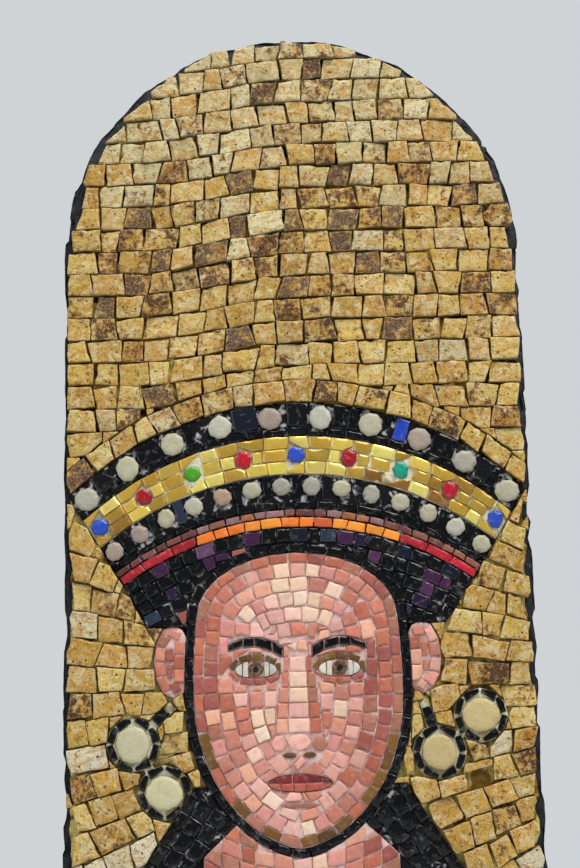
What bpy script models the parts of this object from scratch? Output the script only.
"""Mosaic panel: a round-topped slab of slate, with a crowned head laid in stone and glass on its front.

Frame: metres, +Z up. The panel stands in the XZ plane and its front looks along -Y. The origin is the
middle of the flat back, where the panel hangs against a wall. A flat point is a pair (x, z), read as
one sees it from the front, so a ring of points that runs anticlockwise has its face towards the front.
"""

import math
import random

import bpy
from mathutils.geometry import delaunay_2d_cdt

# Slab of slate
PANEL_WIDTH = 0.250
PANEL_HEIGHT = 0.460
FOOT = -PANEL_HEIGHT / 2
SLAB_DEPTH = 0.0200
EDGE_BREAK = 0.0024
EDGE_FACET = 0.0160
EDGE_WAIST = 0.55

# Mosaic on the slab
CLEARANCE = 0.0003
BARE_MARGIN = 0.0028
GROUND_BED = 0.0035
GLASS_RISE = 0.0072
PEARL_RISE = 0.0080
DISC_RISE = 0.0085
STUD_TAPER = 0.0004

# Stones of the ground
STONE_WIDTH = 0.0141
STONE_ROW = 0.0125
STONE_JOINT = 0.0011
STONE_RISE = 0.0044
STONE_RISE_SPREAD = 0.0011
STONE_TILT = 0.085
ROW_CLIMB = 0.0098
ROW_CLIMB_FROM = -0.0980
ROW_CLIMB_TO = 0.0200
SIDE_ROW_RADIUS = 0.184
SIDE_ROW_LEVEL = FOOT + 0.0950
SIDE_COLUMN = 0.095
SIDE_ROW_REACH = 0.075
SIDE_ROWS_SPARE = 1.35
GROUND_FACET = 0.0150
CUT_SPREAD = 0.21
CUT_LEAN = 0.09
CORNER_SPREAD = 0.14
JOINT_SHARES = (0.30, 0.85)
LEAST_SPAN = 0.35
LEAST_TILE = 0.25
SHORT_SIDE = 0.05
RIM_REACH = 2.2
SHARP_CORNER = 0.35

# Crown: its upper edge is an arc, and its bands lie one under another
CROWN_CREST = FOOT + 0.2489
CROWN_RADIUS = 0.175
CROWN_HALF_ANGLE = 0.765
CROWN_LEAN = 0.72
CROWN_TAPER = 0.17
BORDER_HEIGHT = 0.0180
GOLD_HEIGHT = 0.0210
LOWER_BORDER_HEIGHT = 0.0185
BROWN_HEIGHT = 0.0043
ORANGE_HEIGHT = 0.0057
PEARL_RADIUS = 0.0070
PEARL_SIDES = 8
UPPER_PEARLS = 10
LOWER_PEARLS = 14
LOWER_PEARL_RADIUS = 0.0055
PEARL_MARGIN = 0.0010
JEWELS = 9
JEWEL_RADIUS = 0.0052
JEWEL_SIDES = 6

# Head, a plain oval on the usual canon: the face is 1.4 times as high as wide and five eyes wide, and
# its brows and the base of its nose part it in thirds
HEAD_MIDDLE = -0.0015
HEAD_HALF_WIDTH = 0.0590
OUTLINE_WIDTH = 0.0045
HAIRLINE_LEVEL = FOOT + 0.1680
TEMPLE_LEVEL = FOOT + 0.1340
FACE_CANON = 1.4
CHIN_LEVEL = HAIRLINE_LEVEL - FACE_CANON * 2 * (HEAD_HALF_WIDTH - OUTLINE_WIDTH) - OUTLINE_WIDTH
CHEEK_SHARE = 0.45
CHEEK_LEVEL = HAIRLINE_LEVEL + CHEEK_SHARE * (CHIN_LEVEL - HAIRLINE_LEVEL)
JAW_POWER = 2.25
JAW_ROUND = 0.62
TEMPLE_NARROWING = 0.035
HAIR_SIDE_REACH = 0.0190
HAIR_END_LEVEL = FOOT + 0.1300
EAR_HALF_WIDTH = 0.0100
EAR_HALF_HEIGHT = 0.0190
EAR_LEVEL = FOOT + 0.1120
EAR_OFFSET = 0.0060
EAR_SIDES = 12
EYE_SHARE = 0.2
EYE_OPENING = 0.46
ALMOND_LOWER_SHARE = 0.8
EYE_BELOW_BROW = 0.0105
BROW_THICKNESS = 0.0052
BROW_SPAN = 1.30
BROW_ARCH = 0.0042
BROW_THINNING = 0.45
BROW_PEAK = 0.15
BROW_STEPS = 5
MOUTH_STEPS = 8
MOUTH_HALF_WIDTH = 0.0165
MOUTH_HALF_HEIGHT = 0.0048
MOUTH_SHARE = 0.36

# Neck, robe and the discs that hang beside the neck
NECK_HALF_WIDTH = 0.0500
NECK_TOP = FOOT + 0.0450
ROBE_TOP = FOOT + 0.0470
ROBE_WIDTH = 0.0230
ROBE_SPREAD = 0.0290
ROBE_OUTER_SHARE = 0.92
ROBE_INNER_SHARE = 0.57
ROBE_INNER_RISE = 0.0250
DISC_RADIUS = 0.0098
DISC_SIDES = 10
SURROUND_WIDTH = 0.0040
SURROUND_SIDES = 12
LEFT_DISCS = ((-0.0873, FOOT + 0.0696), (-0.0712, FOOT + 0.0450))
RIGHT_DISCS = ((0.0926, FOOT + 0.0811), (0.0707, FOOT + 0.0627))
DROP_WIDTH = 0.0050
DROP_GAP = 0.0035

SEED = 20731
CDT_TOLERANCE = 1e-7
ARC_POINTS = 14

SLATE = ("slate", (0.020, 0.023, 0.030), 0.45, 0.0)
TRAVERTINE = ("travertine", (0.66, 0.47, 0.22), 0.80, 0.0)
BLACK_GLASS = ("black_glass", (0.012, 0.012, 0.016), 0.15, 0.0)
GOLD_GLASS = ("gold_glass", (0.86, 0.62, 0.16), 0.30, 1.0)
PEARL_STONE = ("pearl_stone", (0.68, 0.65, 0.56), 0.45, 0.0)
BROWN_GLASS = ("brown_glass", (0.22, 0.09, 0.08), 0.35, 0.0)
ORANGE_GLASS = ("orange_glass", (0.85, 0.26, 0.04), 0.35, 0.0)
SKIN_GLASS = ("skin_glass", (0.78, 0.40, 0.30), 0.40, 0.0)
WHITE_GLASS = ("white_glass", (0.80, 0.76, 0.66), 0.35, 0.0)
RED_GLASS = ("red_glass", (0.55, 0.02, 0.03), 0.25, 0.0)
BLUE_GLASS = ("blue_glass", (0.04, 0.12, 0.60), 0.25, 0.0)
GREEN_GLASS = ("green_glass", (0.02, 0.36, 0.16), 0.25, 0.0)
JEWEL_ORDER = (BLUE_GLASS, RED_GLASS, GREEN_GLASS, RED_GLASS)


# Flat geometry

def clear_scene():
    for thing in list(bpy.data.objects):
        bpy.data.objects.remove(thing, do_unlink=True)


def signed_area(ring):
    return 0.5 * sum(a[0] * b[1] - b[0] * a[1] for a, b in zip(ring, ring[1:] + ring[:1]))


def anticlockwise(ring):
    return ring if signed_area(ring) > 0 else ring[::-1]


def centre_of(ring):
    return (sum(p[0] for p in ring) / len(ring), sum(p[1] for p in ring) / len(ring))


def inside(point, ring):
    x, z = point
    found = False
    for (ax, az), (bx, bz) in zip(ring, ring[1:] + ring[:1]):
        if (az > z) != (bz > z) and x < ax + (z - az) * (bx - ax) / (bz - az):
            found = not found
    return found


def grown(ring, by):
    """The ring with every side moved outwards."""
    ring = anticlockwise(ring)
    moved = []
    for i, point in enumerate(ring):
        before, after = ring[i - 1], ring[(i + 1) % len(ring)]
        first = unit(point[1] - before[1], before[0] - point[0])
        second = unit(after[1] - point[1], point[0] - after[0])
        share = by / max(SHARP_CORNER, 1.0 + first[0] * second[0] + first[1] * second[1])
        moved.append((point[0] + share * (first[0] + second[0]), point[1] + share * (first[1] + second[1])))
    return moved


def unit(x, z):
    length = math.hypot(x, z)
    return (x / length, z / length)


def oval(middle, half_width, half_height, sides, turn=0.0):
    return [
        (
            middle[0] + half_width * math.cos(turn + 2 * math.pi * i / sides),
            middle[1] + half_height * math.sin(turn + 2 * math.pi * i / sides),
        )
        for i in range(sides)
    ]


def kept_side(ring, start, end, shift):
    """The part of a convex ring to the left of the line from start to end, moved left by shift."""
    along = unit(end[0] - start[0], end[1] - start[1])
    left = (-along[1], along[0])

    def beyond(p):
        return (p[0] - start[0]) * left[0] + (p[1] - start[1]) * left[1] - shift

    kept = []
    for a, b in zip(ring, ring[1:] + ring[:1]):
        da, db = beyond(a), beyond(b)
        if da >= 0:
            kept.append(a)
        if (da > 0) != (db > 0) and da != db:
            share = da / (da - db)
            kept.append((a[0] + share * (b[0] - a[0]), a[1] + share * (b[1] - a[1])))
    return kept


def crossing_length(ring, start, end):
    """How much of a line lies inside a convex anticlockwise ring."""
    low, high = 0.0, 1.0
    dx, dz = end[0] - start[0], end[1] - start[1]
    for a, b in zip(ring, ring[1:] + ring[:1]):
        nx, nz = b[1] - a[1], a[0] - b[0]
        gap = (a[0] - start[0]) * nx + (a[1] - start[1]) * nz
        rate = dx * nx + dz * nz
        if abs(rate) < 1e-12:
            if gap < 0:
                return 0.0
        elif rate > 0:
            high = min(high, gap / rate)
        else:
            low = max(low, gap / rate)
    return max(0.0, high - low) * math.hypot(dx, dz)


def distance_to(point, start, end):
    dx, dz = end[0] - start[0], end[1] - start[1]
    share = ((point[0] - start[0]) * dx + (point[1] - start[1]) * dz) / (dx * dx + dz * dz)
    share = min(1.0, max(0.0, share))
    return math.hypot(point[0] - start[0] - share * dx, point[1] - start[1] - share * dz)


# Regions: a set of rings joined, less another set

class Region:
    """The area inside any ring of one list and outside every ring of another, as one connected piece."""

    def __init__(self, adds, cuts=(), tiles=()):
        self.adds = [anticlockwise(list(ring)) for ring in adds]
        self.cuts = [anticlockwise(list(ring)) for ring in cuts]
        rings = self.adds + self.cuts + list(tiles)
        points = [p for ring in rings for p in ring]
        faces, first = [], 0
        for ring in rings:
            faces.append(list(range(first, first + len(ring))))
            first += len(ring)
        out = delaunay_2d_cdt(points, [], faces, 1, CDT_TOLERANCE)
        self.points = [points[given[0]] if given else tuple(p) for p, given in zip(out[0], out[3])]
        last_add, last_cut = len(self.adds), len(self.adds) + len(self.cuts)
        triangles, owners = [], []
        for triangle, inputs in zip(out[2], out[5]):
            added = any(i < last_add for i in inputs)
            cut = any(last_add <= i < last_cut for i in inputs)
            if added and not cut:
                triangles.append(tuple(triangle))
                owners.append(max([i - last_cut for i in inputs if i >= last_cut], default=-1))
        chosen = largest_group(triangles)
        self.triangles = [triangles[i] for i in chosen]
        self.owners = [owners[i] for i in chosen]

    def holds(self, point):
        if any(inside(point, ring) for ring in self.cuts):
            return False
        return any(inside(point, ring) for ring in self.adds)

    def rim(self, owner=None):
        """Sides that only one triangle has, each with the region on its left."""
        chosen = [t for t, o in zip(self.triangles, self.owners) if owner is None or o == owner]
        sides = {(t[i], t[(i + 1) % 3]) for t in chosen for i in range(3)}
        return [side for side in sorted(sides) if (side[1], side[0]) not in sides]

    def rim_lines(self):
        return [(self.points[a], self.points[b]) for a, b in self.rim()]


def largest_group(triangles):
    by_side = {}
    for i, t in enumerate(triangles):
        for k in range(3):
            by_side.setdefault(frozenset((t[k], t[(k + 1) % 3])), []).append(i)
    best, seen = [], set()
    for start in range(len(triangles)):
        if start in seen:
            continue
        seen.add(start)
        group, waiting = [], [start]
        while waiting:
            here = waiting.pop()
            group.append(here)
            for k in range(3):
                t = triangles[here]
                for other in by_side[frozenset((t[k], t[(k + 1) % 3]))]:
                    if other not in seen:
                        seen.add(other)
                        waiting.append(other)
        if len(group) > len(best):
            best = group
    return sorted(best)


def loops_of(sides):
    after = dict(sides)
    loops = []
    while after:
        first = min(after)
        loop, here = [], first
        while here in after:
            loop.append(here)
            here = after.pop(here)
        loops.append(loop)
    return loops


# Tesserae

class Tile:
    """One raised tessera: its ring, and the height of its face over the bed at any point."""

    def __init__(self, ring, rise, slope):
        self.ring = ring
        self.rise = rise
        self.slope = slope
        self.middle = centre_of(ring)

    def height(self, point):
        x, z = point[0] - self.middle[0], point[1] - self.middle[1]
        return self.rise + self.slope[0] * x + self.slope[1] * z


def fitted(ring, lines, joint):
    """The ring trimmed to keep a joint's width from a region's rim, or None where little is left."""
    whole = signed_area(ring)
    for _ in range(8):
        middle = centre_of(ring)
        near = [line for line in lines if distance_to(middle, *line) < RIM_REACH * math.sqrt(whole)]
        room = anticlockwise(grown(ring, joint))
        crossed = [line for line in near if crossing_length(room, *line) > 1e-5]
        if not crossed:
            break
        nearest = min(crossed, key=lambda line: distance_to(middle, *line))
        ring = kept_side(ring, *nearest, joint * 1.02)
        if len(ring) < 3 or signed_area(ring) < LEAST_TILE * whole:
            return None
    else:
        return None
    ring = without_short_sides(ring, SHORT_SIDE * math.sqrt(whole))
    if len(ring) < 3 or signed_area(ring) < LEAST_TILE * whole:
        return None
    return ring


def without_short_sides(ring, least):
    kept = []
    for point in ring:
        if not kept or math.dist(point, kept[-1]) > least:
            kept.append(point)
    if len(kept) > 1 and math.dist(kept[0], kept[-1]) <= least:
        kept.pop()
    return kept


def spans(place, level, start, end, holds, step=0.0010):
    """Stretches of a course whose middle line lies in the region."""
    found, open_at = [], None
    count = int((end - start) / step)
    for i in range(count + 1):
        s = start + i * step
        if holds(place(s, level)):
            if open_at is None:
                open_at = s
        elif open_at is not None:
            found.append((open_at, s - step))
            open_at = None
    if open_at is not None:
        found.append((open_at, end))
    return found


def lay_course(place, low, high, reach, region, width, joint, rises, tilt, rng):
    """Tiles side by side between two levels of a course, cut to the region."""
    lines = region.rim_lines()
    tiles = []
    for start, end in spans(place, 0.5 * (low + high), *reach, region.holds):
        count = max(1, round((end - start) / width))
        if end - start < LEAST_SPAN * width:
            continue
        pitch = (end - start) / count
        cuts = [start + i * pitch + (rng.uniform(-CUT_SPREAD, CUT_SPREAD) * pitch if 0 < i < count else 0.0)
                for i in range(count + 1)]
        leans = [rng.uniform(-CUT_LEAN, CUT_LEAN) * width for _ in cuts]
        for i in range(count):
            edge = [joint * rng.uniform(*JOINT_SHARES) for _ in range(4)]
            nudge = [joint * rng.uniform(-CORNER_SPREAD, CORNER_SPREAD) for _ in range(8)]
            left, right = cuts[i] + edge[0], cuts[i + 1] - edge[1]
            floor, roof = low + edge[2], high - edge[3]
            ring = [
                place(left - leans[i] + nudge[0], floor + nudge[1]),
                place(right - leans[i + 1] + nudge[2], floor + nudge[3]),
                place(right + leans[i + 1] + nudge[4], roof + nudge[5]),
                place(left + leans[i] + nudge[6], roof + nudge[7]),
            ]
            slope = (rng.uniform(-tilt, tilt), rng.uniform(-tilt, tilt))
            rise = rng.uniform(*rises)
            ring = fitted(anticlockwise(ring), lines, 0.5 * joint)
            if ring:
                tiles.append(Tile(ring, rise, slope))
    return tiles


# Solids

def finish(name, points, faces, material):
    mesh = bpy.data.meshes.new(name)
    mesh.from_pydata(points, [], faces)
    mesh.validate()
    thing = bpy.data.objects.new(name, mesh)
    bpy.context.scene.collection.objects.link(thing)
    look = bpy.data.materials.new(name + "_" + material[0])
    look.use_nodes = True
    shader = look.node_tree.nodes["Principled BSDF"]
    shader.inputs["Base Color"].default_value = (*material[1], 1.0)
    shader.inputs["Roughness"].default_value = material[2]
    shader.inputs["Metallic"].default_value = material[3]
    mesh.materials.append(look)
    return thing


def plate(name, region, rise, material, tiles=(), tile_regions=None):
    """A solid that stands on the slab's face and follows a region, with any tiles raised on it."""
    back = -SLAB_DEPTH - CLEARANCE
    bed = back - rise
    layout = Region(region.adds, region.cuts, [tile.ring for tile in tiles]) if tiles else region
    used = sorted({i for t in layout.triangles for i in t})
    order = {index: k for k, index in enumerate(used)}
    points = [(layout.points[i][0], bed, layout.points[i][1]) for i in used]
    faces = [tuple(order[i] for i in t) for t, o in zip(layout.triangles, layout.owners) if o < 0]
    for number, tile in enumerate(tiles):
        for loop in loops_of(layout.rim(number)):
            first = len(points)
            for index in loop:
                flat = layout.points[index]
                points.append((flat[0], bed - tile.height(flat), flat[1]))
            count = len(loop)
            faces.append(tuple(range(first, first + count)))
            for k in range(count):
                nxt = (k + 1) % count
                faces.append((first + nxt, first + k, order[loop[k]], order[loop[nxt]]))
    rim_loops = loops_of(layout.rim())
    behind = {}
    for loop in rim_loops:
        for k, index in enumerate(loop):
            behind[index] = len(points)
            points.append((layout.points[index][0], back, layout.points[index][1]))
        for k, index in enumerate(loop):
            nxt = loop[(k + 1) % len(loop)]
            faces.append((order[nxt], order[index], behind[index], behind[nxt]))
    rings = [[layout.points[i] for i in loop] for loop in rim_loops]
    outer = [ring for ring in rings if signed_area(ring) > 0]
    holes = [ring for ring in rings if signed_area(ring) < 0]
    floor = Region(outer, holes)
    number = {layout.points[index]: place for index, place in behind.items()}
    for triangle in floor.triangles:
        faces.append(tuple(number[floor.points[i]] for i in triangle[::-1]))
    return finish(name, points, faces, material)


def stud(name, ring, rise, material):
    """A disc or jewel: a prism on the slab, a little narrower at its face."""
    back = -SLAB_DEPTH - CLEARANCE
    count = len(ring)
    points = [(x, back, z) for x, z in ring] + [(x, back - rise, z) for x, z in grown(ring, -STUD_TAPER)]
    faces = [tuple(reversed(range(count))), tuple(range(count, 2 * count))]
    for k in range(count):
        nxt = (k + 1) % count
        faces.append((k, nxt, count + nxt, count + k))
    return finish(name, points, faces, material)


# The panel's outline and slab

def arch_outline(inset, facet):
    """Round-topped outline, anticlockwise from its lower left corner, in steps of about one facet."""
    half = PANEL_WIDTH / 2 - inset
    bottom = FOOT + inset
    springing = PANEL_HEIGHT / 2 - PANEL_WIDTH / 2
    across = max(2, round(2 * half / facet))
    upright = max(2, round((springing - bottom) / facet))
    round_part = max(8, round(math.pi * half / facet))
    points = [(-half + 2 * half * i / across, bottom) for i in range(across)]
    points += [(half, bottom + (springing - bottom) * i / upright) for i in range(upright)]
    for i in range(round_part):
        angle = math.pi * i / round_part
        points.append((half * math.cos(angle), springing + half * math.sin(angle)))
    points += [(-half, springing - (springing - bottom) * i / upright) for i in range(upright)]
    return points


def inward(points, depths):
    moved = []
    for i, point in enumerate(points):
        before, after = points[i - 1], points[(i + 1) % len(points)]
        side = unit(after[1] - before[1], before[0] - after[0])
        moved.append((point[0] - side[0] * depths[i], point[1] - side[1] * depths[i]))
    return moved


def make_slab(rng):
    outline = arch_outline(0.0, EDGE_FACET)
    count = len(outline)
    cut = [p[1] < FOOT + CLEARANCE for p in outline]
    levels = (-SLAB_DEPTH, -EDGE_WAIST * SLAB_DEPTH, 0.0)
    points, rings = [], []
    for y in levels:
        depths = [0.0 if cut[i] else rng.uniform(0.0, EDGE_BREAK) for i in range(count)]
        ring = inward(outline, depths)
        rings.append(ring)
        points += [(x, y, z) for x, z in ring]
    faces = []
    for level in range(2):
        low, high = level * count, (level + 1) * count
        for k in range(count):
            nxt = (k + 1) % count
            faces.append((low + nxt, low + k, high + k, high + nxt))
    for level, turn in ((0, 1), (2, -1)):
        cap = Region([rings[level]])
        number = {p: level * count + k for k, p in enumerate(rings[level])}
        for triangle in cap.triangles:
            faces.append(tuple(number[cap.points[i]] for i in triangle[::turn]))
    return finish("backing_slab", points, faces, SLATE)


# Crown

def crown_point(along, depth):
    """A point of the crown: its distance along the upper edge from the middle, and how far below it."""
    angle = along / CROWN_RADIUS
    lean = CROWN_LEAN * angle
    reach = depth * narrowing(along)
    return (
        CROWN_RADIUS * math.sin(angle) - reach * math.sin(lean),
        CROWN_CREST - CROWN_RADIUS * (1.0 - math.cos(angle)) - reach * math.cos(lean),
    )


def narrowing(along):
    """The share of their full height that the bands keep at a distance along the crown."""
    return 1.0 - CROWN_TAPER * (along / CROWN_RADIUS / CROWN_HALF_ANGLE) ** 2


CROWN_REACH = CROWN_RADIUS * CROWN_HALF_ANGLE
GOLD_TOP = BORDER_HEIGHT
LOWER_BORDER_TOP = GOLD_TOP + GOLD_HEIGHT
BROWN_TOP = LOWER_BORDER_TOP + LOWER_BORDER_HEIGHT
ORANGE_TOP = BROWN_TOP + BROWN_HEIGHT
HAIR_TOP = ORANGE_TOP + ORANGE_HEIGHT


def crown_band(top, bottom):
    stops = [CROWN_REACH * (2 * i / ARC_POINTS - 1) for i in range(ARC_POINTS + 1)]
    upper = [crown_point(s, top + 0.5 * CLEARANCE) for s in stops]
    lower = [crown_point(s, bottom - 0.5 * CLEARANCE) for s in stops]
    return anticlockwise(upper + lower[::-1])


def row_on_crown(prefix, count, top, drop, radius, sides, rise, materials, turn):
    """Discs or jewels spaced evenly along a band, a drop below its top, each its own solid."""
    rings = []
    margin = radius + PEARL_MARGIN
    for i in range(count):
        along = (CROWN_REACH - margin) * (2 * i / (count - 1) - 1)
        middle = crown_point(along, top + drop / narrowing(along))
        ring = oval(middle, radius, radius, sides, turn - CROWN_LEAN * along / CROWN_RADIUS)
        stud(f"{prefix}_{i + 1:02d}", ring, rise, materials[i % len(materials)])
        rings.append(ring)
    return rings


def make_crown():
    turn = math.pi / PEARL_SIDES
    drop = PEARL_RADIUS + PEARL_MARGIN
    pearls = row_on_crown("crown_disc_upper", UPPER_PEARLS, 0.0, drop, PEARL_RADIUS, PEARL_SIDES,
                          PEARL_RISE, (PEARL_STONE,), turn)
    border = Region([crown_band(0.0, GOLD_TOP)], [grown(r, CLEARANCE) for r in pearls])
    plate("crown_border_upper", border, GLASS_RISE, BLACK_GLASS)

    jewels = row_on_crown("crown_jewel", JEWELS, GOLD_TOP + 0.5 * GOLD_HEIGHT, 0.0, JEWEL_RADIUS, JEWEL_SIDES,
                          PEARL_RISE, JEWEL_ORDER, math.pi / JEWEL_SIDES)
    gold = Region([crown_band(GOLD_TOP, LOWER_BORDER_TOP)], [grown(r, CLEARANCE) for r in jewels])
    plate("crown_gold_band", gold, GLASS_RISE, GOLD_GLASS)

    drop = LOWER_PEARL_RADIUS + PEARL_MARGIN
    lower = row_on_crown("crown_disc_lower", LOWER_PEARLS, LOWER_BORDER_TOP, drop, LOWER_PEARL_RADIUS,
                         PEARL_SIDES, PEARL_RISE, (PEARL_STONE,), turn)
    border = Region([crown_band(LOWER_BORDER_TOP, BROWN_TOP)], [grown(r, CLEARANCE) for r in lower])
    plate("crown_border_lower", border, GLASS_RISE, BLACK_GLASS)
    plate("crown_brown_row", Region([crown_band(BROWN_TOP, ORANGE_TOP)]), GLASS_RISE, BROWN_GLASS)
    plate("crown_orange_row", Region([crown_band(ORANGE_TOP, HAIR_TOP)]), GLASS_RISE, ORANGE_GLASS)


# Head

def head_half_width(level, half_width, chin):
    """Half the head's width at a level: upright to the cheeks, then closing to the chin."""
    if level > CHEEK_LEVEL:
        rise = (level - CHEEK_LEVEL) / (TEMPLE_LEVEL - CHEEK_LEVEL)
        return half_width * (1.0 - TEMPLE_NARROWING * rise ** 2)
    share = min(1.0, (CHEEK_LEVEL - level) / (CHEEK_LEVEL - chin))
    return half_width * (1.0 - share ** JAW_POWER) ** JAW_ROUND


def head_ring(inset, top):
    """The head's outline below a level, drawn in by an inset, closed across at the top."""
    chin = CHIN_LEVEL + inset
    half = HEAD_HALF_WIDTH - inset
    turns = [0.5 * math.pi * i / ARC_POINTS for i in range(ARC_POINTS + 1)]
    levels = [chin + (top - chin) * (1.0 - math.cos(turn)) for turn in turns]
    right = [(HEAD_MIDDLE + head_half_width(level, half, chin), level) for level in levels[1:]]
    left = [(2 * HEAD_MIDDLE - x, z) for x, z in right[::-1]]
    return anticlockwise(right + left + [(HEAD_MIDDLE, chin)])


def face_ring():
    """The skin inside the dark outline, with the round hairline over it."""
    side = head_ring(OUTLINE_WIDTH, TEMPLE_LEVEL)
    half = max(p[0] for p in side if p[1] > TEMPLE_LEVEL - CLEARANCE) - HEAD_MIDDLE
    rise = HAIRLINE_LEVEL - TEMPLE_LEVEL
    turns = [math.pi * i / ARC_POINTS for i in range(1, ARC_POINTS)]
    arch = [(HEAD_MIDDLE + half * math.cos(turn), TEMPLE_LEVEL + rise * math.sin(turn)) for turn in turns]
    start = max(range(len(side)), key=lambda i: (side[i][1] > TEMPLE_LEVEL - CLEARANCE, side[i][0]))
    side = side[start + 1:] + side[:start + 1]
    return anticlockwise(side + arch)


def thirds():
    """Levels of the brows and of the nose's base: the face in three equal parts."""
    bottom = CHIN_LEVEL + OUTLINE_WIDTH
    part = (HAIRLINE_LEVEL - bottom) / 3
    return HAIRLINE_LEVEL - part, bottom + part


def eye_width():
    return EYE_SHARE * 2 * (HEAD_HALF_WIDTH - OUTLINE_WIDTH)


def almond(middle, half_width, half_height, points=7):
    """A pointed oval whose lower side is a little flatter."""
    turns = [math.pi * i / points for i in range(points + 1)]
    upper = [(middle[0] + half_width * math.cos(t), middle[1] + half_height * math.sin(t)) for t in turns]
    flat = ALMOND_LOWER_SHARE * half_height
    lower = [(middle[0] - half_width * math.cos(t), middle[1] - flat * math.sin(t)) for t in turns[1:-1]]
    return upper + lower


def brow_ring(side):
    level, _ = thirds()
    middle = HEAD_MIDDLE + side * eye_width()
    half = 0.5 * BROW_SPAN * eye_width()
    rows = []
    for offset in (0.5, -0.5):
        row = []
        for i in range(BROW_STEPS + 1):
            share = 2 * i / BROW_STEPS - 1
            thin = 1.0 - BROW_THINNING * max(0.0, share * side)
            row.append((
                middle + share * half,
                level + BROW_ARCH * (1.0 - (share - BROW_PEAK * side) ** 2) + offset * thin * BROW_THICKNESS,
            ))
        rows.append(row)
    return anticlockwise(rows[0] + rows[1][::-1])


def mouth_ring():
    _, base = thirds()
    level = base - MOUTH_SHARE * (base - CHIN_LEVEL - OUTLINE_WIDTH)
    return almond((HEAD_MIDDLE, level), MOUTH_HALF_WIDTH, MOUTH_HALF_HEIGHT, MOUTH_STEPS)


def hair_ring():
    """Hair from the crown's lower edge down to the ears, closed across the face."""
    stops = [CROWN_REACH * (2 * i / ARC_POINTS - 1) for i in range(ARC_POINTS + 1)]
    upper = [crown_point(s, HAIR_TOP + CLEARANCE) for s in stops]
    reach = HEAD_HALF_WIDTH + HAIR_SIDE_REACH
    ends = [(HEAD_MIDDLE + reach, HAIR_END_LEVEL), (HEAD_MIDDLE - reach, HAIR_END_LEVEL)]
    return anticlockwise(upper + ends)


def make_head():
    brow, _ = thirds()
    eye_level = brow - EYE_BELOW_BROW
    features = {}
    for side, name in ((-1, "left"), (1, "right")):
        middle = (HEAD_MIDDLE + side * eye_width(), eye_level)
        half = 0.5 * eye_width()
        features[f"eye_{name}"] = (almond(middle, half, EYE_OPENING * half), WHITE_GLASS)
        features[f"brow_{name}"] = (brow_ring(side), BLACK_GLASS)
    features["mouth"] = (mouth_ring(), RED_GLASS)
    for name, (ring, material) in features.items():
        plate(name, Region([ring]), GLASS_RISE, material)
    face = face_ring()
    cuts = [grown(ring, CLEARANCE) for ring, _ in features.values()]
    plate("face", Region([face], cuts), GLASS_RISE, SKIN_GLASS)

    head = head_ring(0.0, TEMPLE_LEVEL)
    hair = hair_ring()
    plate("hair", Region([hair, head], [grown(face, CLEARANCE)]), GLASS_RISE, BLACK_GLASS)
    taken = [grown(hair, CLEARANCE), grown(head, CLEARANCE)]
    ears = []
    for side, name in ((-1, "left"), (1, "right")):
        middle = (HEAD_MIDDLE + side * (HEAD_HALF_WIDTH + EAR_OFFSET), EAR_LEVEL)
        ring = oval(middle, EAR_HALF_WIDTH, EAR_HALF_HEIGHT, EAR_SIDES)
        plate(f"ear_{name}", Region([ring], taken), GLASS_RISE, SKIN_GLASS)
        ears.append(grown(ring, CLEARANCE))
    return taken + ears


# Robe, neck and hanging discs

def robe_ring(side):
    bottom = FOOT + BARE_MARGIN
    outer = HEAD_MIDDLE + side * ROBE_OUTER_SHARE * HEAD_HALF_WIDTH
    foot = outer + side * ROBE_SPREAD
    inner = HEAD_MIDDLE + side * ROBE_INNER_SHARE * HEAD_HALF_WIDTH
    return anticlockwise([
        (inner, ROBE_TOP), (outer, ROBE_TOP), (foot, bottom), (foot - side * ROBE_WIDTH, bottom),
        (inner, bottom + ROBE_INNER_RISE),
    ])


def neck_ring():
    bottom = FOOT + BARE_MARGIN
    left, right = HEAD_MIDDLE - NECK_HALF_WIDTH, HEAD_MIDDLE + NECK_HALF_WIDTH
    return [(left, bottom), (right, bottom), (right, NECK_TOP), (left, NECK_TOP)]


def make_bust(taken):
    robes = []
    for side, name in ((-1, "left"), (1, "right")):
        ring = robe_ring(side)
        plate(f"robe_{name}", Region([ring], taken), GLASS_RISE, BLACK_GLASS)
        robes.append(grown(ring, CLEARANCE))
    neck = neck_ring()
    plate("neck", Region([neck], taken + robes), GLASS_RISE, SKIN_GLASS)
    return taken + robes + [grown(neck, CLEARANCE)]


def make_discs(side, name, middles, taken):
    """Two pale discs, each ringed with black, with a short drop below the ear."""
    discs, rings = [], []
    for i, middle in enumerate(middles):
        disc = oval(middle, DISC_RADIUS, DISC_RADIUS, DISC_SIDES)
        stud(f"disc_{name}_{i + 1}", disc, DISC_RISE, PEARL_STONE)
        discs.append(disc)
        outer = DISC_RADIUS + CLEARANCE + SURROUND_WIDTH
        rings.append(oval(middle, outer, outer, SURROUND_SIDES))
    lobe = (HEAD_MIDDLE + side * (HEAD_HALF_WIDTH + EAR_OFFSET), EAR_LEVEL - EAR_HALF_HEIGHT - DROP_GAP)
    nearest = min(middles, key=lambda middle: math.dist(middle, lobe))
    drop = strip(lobe, nearest, DROP_WIDTH)
    link = strip(middles[0], middles[1], DROP_WIDTH)
    region = Region(rings + [drop, link], taken + [grown(disc, CLEARANCE) for disc in discs])
    plate(f"disc_surround_{name}", region, GLASS_RISE, BLACK_GLASS)
    return [grown(ring, CLEARANCE) for ring in rings + [drop, link]]


def strip(start, end, width):
    along = unit(end[0] - start[0], end[1] - start[1])
    across = (-along[1] * width / 2, along[0] * width / 2)
    return anticlockwise([
        (start[0] + across[0], start[1] + across[1]), (start[0] - across[0], start[1] - across[1]),
        (end[0] - across[0], end[1] - across[1]), (end[0] + across[0], end[1] + across[1]),
    ])


# Ground of stone

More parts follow.
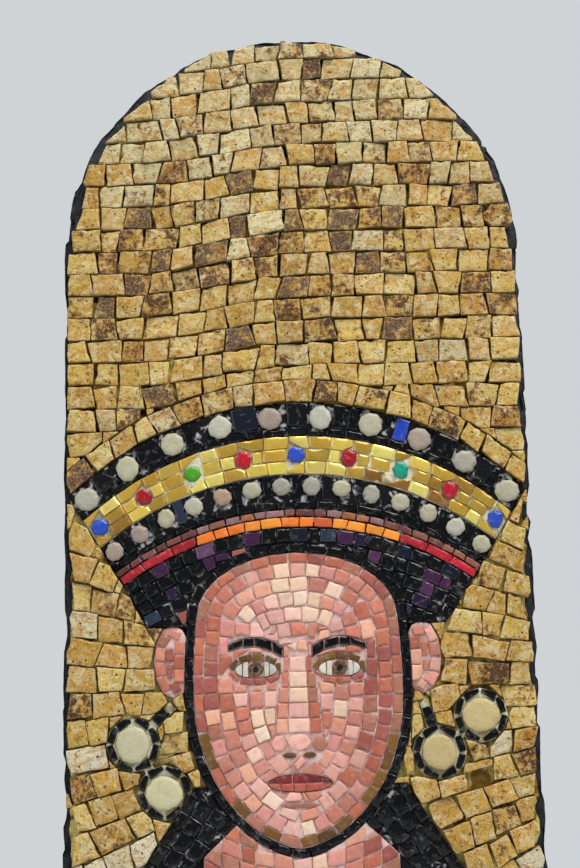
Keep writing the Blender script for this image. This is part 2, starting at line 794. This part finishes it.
def crown_cut(depth):
    """Everything under a line along the crown, out to the sides and down past the foot."""
    stops = [CROWN_REACH * (2 * i / ARC_POINTS - 1) for i in range(ARC_POINTS + 1)]
    upper = [crown_point(s, depth) for s in stops]
    wide, low = PANEL_WIDTH, -PANEL_HEIGHT
    floor = [(-wide, low), (wide, low)]
    return anticlockwise(floor + [(wide, upper[-1][1]), *upper[::-1], (-wide, upper[0][1])])


def upper_row(along, level):
    """Rows over the crown: they run level, climb to the right over the head's left, and run level again."""
    share = (along - ROW_CLIMB_FROM) / (ROW_CLIMB_TO - ROW_CLIMB_FROM)
    share = min(1.0, max(0.0, share))
    return (along, level + ROW_CLIMB * (share - 1 - math.sin(2 * math.pi * share) / (2 * math.pi)))


def side_row(column):
    """Rows beside the head, which turn as they go down."""
    def place(along, level):
        angle = (level - SIDE_ROW_LEVEL) / SIDE_ROW_RADIUS
        radius = SIDE_ROW_RADIUS - along
        return (
            column + SIDE_ROW_RADIUS - radius * math.cos(angle),
            SIDE_ROW_LEVEL + radius * math.sin(angle),
        )
    return place


def make_ground(taken, rng):
    rises = (STONE_RISE - STONE_RISE_SPREAD, STONE_RISE + STONE_RISE_SPREAD)
    outline = arch_outline(BARE_MARGIN, GROUND_FACET)
    region = Region([outline], [crown_cut(-CLEARANCE)])
    stones = lay_course(crown_point, -STONE_ROW, -CLEARANCE, (-CROWN_REACH, CROWN_REACH), region,
                        STONE_WIDTH, STONE_JOINT, rises, STONE_TILT, rng)
    above = Region([outline], [crown_cut(-STONE_ROW)])
    bottom = crown_point(CROWN_REACH, 0.0)[1]
    rows = math.ceil((PANEL_HEIGHT / 2 - bottom) / STONE_ROW) + 2
    top = PANEL_HEIGHT / 2 - BARE_MARGIN
    for k in range(rows):
        high = top - k * STONE_ROW
        stones += lay_course(upper_row, high - STONE_ROW, high, (-PANEL_WIDTH / 2, PANEL_WIDTH / 2), above,
                             STONE_WIDTH, STONE_JOINT, rises, STONE_TILT, rng)
    plate("ground_upper", region, GROUND_BED, TRAVERTINE, stones)

    crown = crown_band(-CLEARANCE, HAIR_TOP)
    end_level = crown_point(CROWN_REACH, 0.0)[1] - CLEARANCE
    floor = FOOT + BARE_MARGIN
    edge = PANEL_WIDTH / 2 - BARE_MARGIN
    for side, name in ((-1, "left"), (1, "right")):
        rim, inner = side * edge, HEAD_MIDDLE
        block = [(rim, floor), (inner, floor), (inner, end_level), (rim, end_level)]
        region = Region([block], taken + [grown(crown, CLEARANCE)])
        place = side_row(side * SIDE_COLUMN)
        stones = []
        half_span = 0.5 * (end_level - floor) * SIDE_ROWS_SPARE
        count = math.ceil(2 * half_span / STONE_ROW)
        middle = 0.5 * (end_level + floor)
        for k in range(count):
            high = middle + half_span - k * STONE_ROW
            stones += lay_course(place, high - STONE_ROW, high, (-SIDE_ROW_REACH, SIDE_ROW_REACH), region,
                                 STONE_WIDTH, STONE_JOINT, rises, STONE_TILT, rng)
        plate(f"ground_lower_{name}", region, GROUND_BED, TRAVERTINE, stones)


def main():
    clear_scene()
    make_slab(random.Random(SEED))
    make_crown()
    taken = make_head()
    taken = make_bust(taken)
    for side, name, middles in ((-1, "left", LEFT_DISCS), (1, "right", RIGHT_DISCS)):
        taken += make_discs(side, name, middles, taken)
    make_ground(taken, random.Random(SEED + 1))


main()
